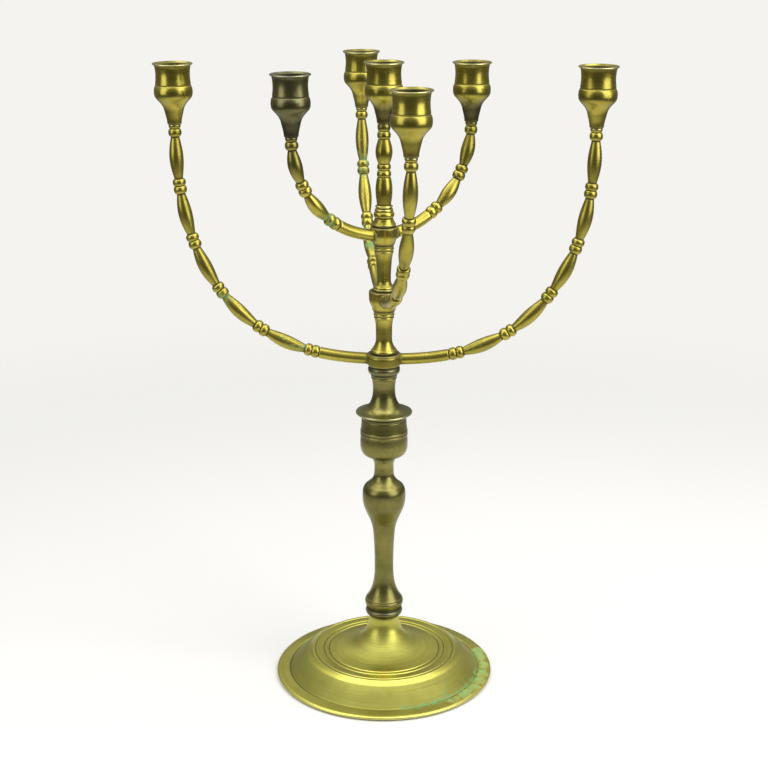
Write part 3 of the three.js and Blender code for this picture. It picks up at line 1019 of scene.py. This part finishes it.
@dataclass
class Tier:
    """A pair of bent arms with their cups, brazed into one hub.

    Attributes:
        name: The tier's name, which its nodes' names start with.
        sides: The names of the two arms' sides.
        hub_outline: Gives the hub's outline for its height.
        hub_radius: The hub's radius where the arms go in.
        bar_at: Height of the arms' centre above the hub's foot.
        reach: From the stem's axis to the cups' axis.
        rise: From the arms' centre at the hub to the cups' seat.
        fullness: 2 gives a quarter of an ellipse, more is squarer.
        spindles: How many spindles an arm has.
        pitch: From one pair of beads to the next.
        turned: Where the first arm points, in degrees round the stem.
        fillet: How far the braze stands proud of the bar at the hub.
    """

    name: str
    sides: tuple[str, str]
    hub_outline: Callable[[float], Outline]
    hub_radius: float
    bar_at: float
    reach: float
    rise: float
    fullness: float
    spindles: int
    pitch: float
    turned: float
    fillet: float
    bar: float = 4.1
    bead: float = 4.6
    bead_length: float = 5.4
    bead_neck: float = 3.2
    spindle: float = 4.9
    spindle_end: float = 3.0
    top_pair: float = 8.3
    stud: tuple[float, float] = (2.0, 5.0)

    def centre_line(self, level: float, steps: int = 64) -> list[tuple[float, float, float]]:
        """The arm's centre line, from the stem's axis to the cup's seat, in millimetres.

        Args:
            level: Height of the arm's centre at the hub.
            steps: How many steps it is drawn in.

        Returns:
            Its points. They lie on a quarter of a superellipse in the XZ plane.
        """
        power = 2 / self.fullness
        angles = [math.pi / 2 * i / steps for i in range(steps + 1)]
        line = [
            (self.reach * math.sin(a) ** power, 0.0, level + self.rise * (1 - max(math.cos(a), 0) ** power))
            for a in angles
        ]
        return [*line, (self.reach, 0.0, line[-1][2] + 2 * self.stud[1])]

    def arm_outline(self, start: float, length: float) -> Outline:
        """The straight rod that the arm is bent from, from `start` to `length` along its line."""
        ornament = self.top_pair + self.spindles * self.pitch
        spindle_length = self.pitch - 2 * self.bead_length
        root = self.hub_radius
        made = Outline([(0.0, start), (self.bar + self.fillet, start)])
        made.to(self.bar + self.fillet, root)
        made.curve(self.bar, root + 1.2 + 1.6 * self.fillet, -50, 0, 0.45)
        made.to(self.bar, length - ornament - 0.6)
        made.to(self.bead_neck, length - ornament)
        for _ in range(self.spindles):
            z = made.tip[1]
            made.bead(self.bead, z + self.bead_length)
            made.bead(self.bead, z + 2 * self.bead_length - 0.5)
            made.to(self.spindle_end, z + 2 * self.bead_length)
            made.oval(self.spindle, z + 2 * self.bead_length + spindle_length - 0.6)
            made.to(self.bead_neck, z + self.pitch)
        made.bead(self.bead, length - self.top_pair + self.bead_length)
        made.bead(0.9 * self.bead, length, 0.86 * self.bead)
        radius, tip = self.stud[0], length + self.stud[1]
        return made.to(radius, length).to(radius, tip).to(0.0, tip)

    def bend(self, rod: Piece, level: float) -> Piece:
        """Bends a straight rod that stands on the Z axis along the arm's centre line."""
        path = draw_wire(f"{self.name}_line", (tuple(c * MM for c in p) for p in self.centre_line(level)))
        bpy.ops.object.mode_set(mode="OBJECT")
        bpy.ops.object.convert(target="CURVE")
        bpy.ops.object.mode_set(mode="EDIT")
        bpy.ops.curve.select_all(action="SELECT")
        bpy.ops.curve.spline_type_set(type="NURBS")
        points = path.data.splines[0].points
        if points[0].co.x > points[-1].co.x:
            bpy.ops.curve.switch_direction()
        bpy.ops.object.mode_set(mode="OBJECT")
        spline = path.data.splines[0]
        spline.order_u = 4
        spline.use_endpoint_u = True
        spline.resolution_u = 8
        only(rod)
        bpy.ops.object.modifier_add(type="CURVE")
        bender = rod.modifiers[-1]
        bender.object = path
        bender.deform_axis = "POS_Z"
        bpy.ops.object.modifier_apply(modifier=bender.name)
        bpy.data.objects.remove(path)
        return rod

    def line_length(self) -> float:
        """Length of the arm's centre line, from the stem's axis to the cup's seat."""
        points = np.array(self.centre_line(0.0, 2000)[:-1])
        return float(np.linalg.norm(np.diff(points, axis=0), axis=1).sum())

    def build(self, cup: Piece, dress: Dress) -> None:
        """Builds the hub, bends one arm and copies it, and puts a cup on each.

        Args:
            cup: The cup to copy.
            dress: The material of each node.
        """
        hub = f"{self.name}_hub"
        seat = Seat.of(hub)
        build_stem_piece(hub, self.hub_outline, dress[hub])
        start = self.hub_radius - 4.5
        length = self.line_length()

        def shade_and_grime(_: np.ndarray, z: np.ndarray) -> np.ndarray:
            """Painted shade where the arm goes into the hub."""
            return 0.8 * np.clip(1 - np.abs(z - self.hub_radius) / 2.0, 0, 1)

        rod = turn(f"{self.name}_rod", self.arm_outline(start, length), Smoothness.ARM, 1.3, shade_and_grime)
        pattern = self.bend(rod, seat.foot + self.bar_at)
        for i, side in enumerate(self.sides):
            angle = math.radians(self.turned + 180 * i)
            arm_node, cup_node = f"{self.name}_arm_{side}", f"{self.name}_cup_{side}"
            arm = copy_of(pattern, f"{arm_node}_brass")
            arm.rotation_euler = Euler((0, 0, angle))
            stand_for(bake_in(arm), arm_node, dress[arm_node])
            place_cup(cup, cup_node, angle, dress[cup_node])
        bpy.data.objects.remove(pattern)


def place_cup(pattern: Piece, node: str, angle: float, material: Material) -> None:
    """Copies a cup onto its seat.

    Args:
        pattern: The cup to copy.
        node: The node that the copy stands for.
        angle: How far the cup is turned about its own axis, in radians.
        material: Its finish.
    """
    seat = Seat.of(node)
    cup = copy_of(pattern, f"{node}_brass")
    cup.rotation_euler = Euler((0, 0, angle))
    cup.location = (seat.x * MM, seat.y * MM, seat.foot * MM)
    stand_for(bake_in(cup), node, material)


def outer_hub_outline(height: float) -> Outline:
    """A short drum with a fine line under its top edge."""
    made = Outline([(11.0, 0.0)]).curve(11.9, 1.3, 60, 0, 0.5)
    made.to(11.9, height - 2.2).groove(0.3, 0.7)
    return made.curve(11.1, height, 0, -60, 0.5).bored()


def middle_hub_outline(height: float) -> Outline:
    """A cone that opens into a short drum with a rounded shoulder."""
    made = Outline([(7.9, 0.0)]).to(8.2, 0.4).curve(10.7, 0.62 * height, 8, 0, 0.45)
    return made.to(10.8, height - 2.0).curve(9.6, height, 0, -72, 0.55).bored()


def inner_hub_outline(height: float) -> Outline:
    """A smaller cone, with a shoulder that rounds in under the top spindle."""
    made = Outline([(7.4, 0.0)]).to(7.7, 0.4).curve(9.6, 0.6 * height, 12, 0, 0.45)
    return made.to(9.7, height - 1.8).curve(8.7, height, 0, -70, 0.55).bored()


# ---------------------------------------------------------------- the studio


@dataclass
class Studio:
    """A pale floor, soft lights and the camera."""

    eye: tuple[float, float, float] = (0.0655, -1.0973, 0.5791)
    aim: tuple[float, float, float] = (0.0, 0.0, 0.228)
    lens: float = 75.0
    floor_radius: float = 1.1
    paper: str = "#dddcd9"

    def build(self) -> None:
        """Makes the camera, the floor, the lights and the surroundings."""
        self._camera()
        self._floor()
        self._surroundings()
        self._softbox("key_softbox", azimuth=60, rise=24, away=1.25, size=(0.95, 1.2), power=10.5)
        self._softbox("fill_softbox", azimuth=-55, rise=22, away=1.25, size=(0.7, 1.1), power=4.2)
        self._softbox("top_right_softbox", azimuth=48, rise=70, away=1.45, size=(0.7, 1.0), power=5.0)
        self._softbox("top_left_softbox", azimuth=-42, rise=70, away=1.45, size=(0.6, 1.0), power=3.6)
        self._softbox("right_strip", azimuth=104, rise=60, away=1.4, size=(1.1, 0.8), power=7.0)
        self._softbox("left_strip", azimuth=-104, rise=60, away=1.4, size=(1.1, 0.8), power=6.0)
        bpy.context.scene.view_settings.view_transform = "Standard"

    def _camera(self) -> None:
        """Sets the camera at the viewing angle."""
        turn_to = (Vector(self.aim) - Vector(self.eye)).to_track_quat("-Z", "Y").to_euler()
        bpy.ops.object.camera_add(location=self.eye, rotation=turn_to)
        camera = bpy.context.object
        camera.name = "camera"
        camera.data.lens = self.lens
        bpy.context.scene.camera = camera

    def _floor(self) -> None:
        """A pale paper floor that fades into the background at its edge."""
        bpy.ops.object.select_all(action="DESELECT")
        bpy.ops.mesh.primitive_circle_add(vertices=96, radius=self.floor_radius, fill_type="NGON")
        floor = bpy.context.object
        floor.name = "floor"
        bpy.ops.object.mode_set(mode="EDIT")
        bpy.ops.mesh.inset(thickness=0.4 * self.floor_radius)
        bpy.ops.object.mode_set(mode="OBJECT")
        made, tree, place = new_material("matt_paper")
        away = add_node(tree, "ShaderNodeVectorMath", {0: place}, operation="LENGTH").outputs[1]
        fade = (0.25 * self.floor_radius, 0.95 * self.floor_radius)
        faded = span(tree, away, fade, (0.0, 1.0), "SMOOTHSTEP")
        paper = add_node(
            tree, "ShaderNodeBsdfPrincipled", {"Base Color": linear(self.paper), "Roughness": 0.9}
        ).outputs[0]
        clear = add_node(tree, "ShaderNodeBsdfTransparent").outputs[0]
        mixed = add_node(tree, "ShaderNodeMixShader", {0: faded, 1: paper, 2: clear}).outputs[0]
        add_node(tree, "ShaderNodeOutputMaterial", {"Surface": mixed})
        floor.data.materials.append(made)

    def _surroundings(self) -> None:
        """A dim room that is lighter behind the object and overhead, before a pale backdrop."""
        world = bpy.data.worlds.new("studio")
        bpy.context.scene.world = world
        world.use_nodes = True
        tree = world.node_tree
        tree.nodes.clear()
        way = add_node(tree, "ShaderNodeTexCoord").outputs["Generated"]
        parts = add_node(tree, "ShaderNodeSeparateXYZ", {0: way}).outputs
        behind = span(tree, parts[1], (-0.8, 0.8), (0.1, 0.22))
        above = span(tree, parts[2], (0.0, 0.9), (0.0, 0.45))
        room, backdrop = (
            add_node(tree, "ShaderNodeBackground", {"Color": colour, "Strength": 1.0}).outputs[0]
            for colour in (sums(tree, "ADD", behind, above), linear("#f4f3ef"))
        )
        seen = add_node(tree, "ShaderNodeLightPath").outputs["Is Camera Ray"]
        mixed = add_node(tree, "ShaderNodeMixShader", {0: seen, 1: room, 2: backdrop}).outputs[0]
        add_node(tree, "ShaderNodeOutputWorld", {"Surface": mixed})

    @staticmethod
    def _softbox(
        name: str, azimuth: float, rise: float, away: float, size: tuple[float, float], power: float
    ) -> None:
        """Hangs a softbox that faces the object.

        Args:
            name: The light's name.
            azimuth: Degrees to the right of the camera's side, round the object.
            rise: Degrees above the object's middle.
            away: Distance from it in metres.
            size: Width and height in metres.
            power: Watts.
        """
        a, e = math.radians(azimuth), math.radians(rise)
        middle = Vector((0, 0, 0.25))
        way = Vector((math.sin(a) * math.cos(e), -math.cos(a) * math.cos(e), math.sin(e)))
        turned = way.to_track_quat("Z", "Y").to_euler()
        bpy.ops.object.light_add(type="AREA", location=middle + way * away, rotation=turned)
        light = bpy.context.object
        light.name = name
        light.data.shape = "RECTANGLE"
        light.data.size, light.data.size_y = size
        light.data.energy = power


# ---------------------------------------------------------------- building it all


def finishes() -> dict[str, Material]:
    """The finish of each node.

    The cups, arms and upper stem have kept most of their gold. The lower stem is more olive, and
    its two dark rings and one inner cup have gone brown. The base is the brightest, with clear
    turning marks.
    """
    on_rim = (-44, -35, -26, -17, -8, 2, 12, 20)
    in_groove = range(-76, 26, 3)
    damp_foot = (
        *(Patch.round_stem(75.5, turned, 3.0, 11.0, 0.48) for turned in on_rim),
        *(Patch.round_stem(71.2, turned, 4.0, 4.5, 0.44 + 0.06 * math.sin(turned)) for turned in in_groove),
        Patch.round_stem(66.0, -42.0, 8.0, 12.0, 0.3),
        Patch.round_stem(77.0, 120.0, 3.0, 14.0, 0.36),
    )
    cup_lips = (
        (145.0, 0.0, 456.0, 19.0, 0.3),
        (145.0, 180.0, 456.0, 19.0, 0.3),
        (71.0, 213.0, 454.0, 18.0, 0.44),
        (71.0, 33.0, 454.0, 18.0, 0.36),
        (0.0, 0.0, 458.0, 17.0, 0.26),
    )
    along_arms = (
        (93.0, 102.0, 375.0, 30.0, 0.42),
        (60.0, 102.0, 325.0, 28.0, 0.47),
        (10.0, 100.0, 332.0, 9.0, 0.44),
        (46.0, 213.0, 352.0, 15.0, 0.42),
        (62.0, 180.0, 258.0, 22.0, 0.33),
        (118.0, 180.0, 288.0, 18.0, 0.42),
        (136.0, 180.0, 330.0, 12.0, 0.32),
        (70.0, 0.0, 258.0, 16.0, 0.3),
    )
    # Painted shade on the funnels under four of the cups.
    under_cups = (
        (0.0, 0.0, 424.0, 16.0, 0.8),
        (71.0, 33.0, 421.0, 17.0, 0.85),
        (71.0, 213.0, 415.0, 15.0, 0.6),
        (69.0, 213.0, 396.0, 22.0, 0.45),
    )
    damp = tuple(Patch.round_stem(*place) for place in (*cup_lips, *along_arms))
    shade_under_cups = tuple(Patch.round_stem(*place) for place in under_cups)
    golden = TurnedBrass("golden_turned_brass", verdigris=damp, painted_shade=shade_under_cups).material()
    arms = TurnedBrass(
        "bent_arm_brass",
        gloss=0.26,
        stretch=0.0,
        marks=0.08,
        verdigris=damp,
        painted_shade=shade_under_cups,
        # A painted highlight on the front arm's root at the hub.
        painted_highlight=(Patch.round_stem(14.5, -78.0, 291.0, 6.5, 0.9),),
    ).material()
    olive = TurnedBrass(
        "olive_turned_brass", bright="#969052", dull="#5c5932", film=0.5, gloss=0.24
    ).material()
    dark = TurnedBrass(
        "brown_tarnished_brass",
        bright="#8a855a",
        dull="#57543a",
        edge="#b9b698",
        film=0.5,
        gloss=0.25,
        verdigris=damp,
        painted_shade=shade_under_cups,
    ).material()
    satin = TurnedBrass(
        "satin_turned_brass",
        bright="#cdc85f",
        dull="#a39b42",
        shade_and_dirt="#343a18",
        film=0.3,
        gloss=0.28,
        marks=0.6,
        marks_gap=1.1,
        stretch=0.55,
        verdigris=damp_foot,
    ).material()
    dress = {node: golden for node in SLOT_OF}
    for node, slot in SLOT_OF.items():
        if node in {"baluster", "knop", "trumpet_neck"}:
            dress[node] = olive
        elif slot == "tarnished_brass":
            dress[node] = dark
        elif "_arm_" in node:
            dress[node] = arms
    dress["base"] = satin
    return dress


def tiers() -> list[Tier]:
    """The three pairs of arms, from the lowest up."""
    rows = (
        ("outer", ("left", "right"), outer_hub_outline, 11.9, 4.5, 145.0, 166.6, 2.5, 5, 40.0, 180.0, 0.25),
        ("middle", ("front", "back"), middle_hub_outline, 10.8, 8.4, 113.0, 119.4, 2.0, 3, 42.0, -78.0, 1.1),
        ("inner", ("left", "right"), inner_hub_outline, 9.7, 6.8, 71.0, 73.6, 2.0, 2, 33.5, 213.0, 0.6),
    )
    return [Tier(*row) for row in rows]


def main() -> None:
    """Builds the candelabra from the foot up, and then the studio round it."""
    logging.basicConfig(level=logging.INFO, format="%(name)s: %(message)s")
    Studio().build()
    dress = finishes()
    Foot().build(dress["base"], PlainSteel().material())
    LowerStem().build(dress)
    UpperStem().build(dress)
    cup = CandleCup().build()
    for tier in tiers():
        tier.build(cup, dress)
    place_cup(cup, "centre_cup", 0.0, dress["centre_cup"])
    bpy.data.objects.remove(cup)


if __name__ == "__main__":
    main()
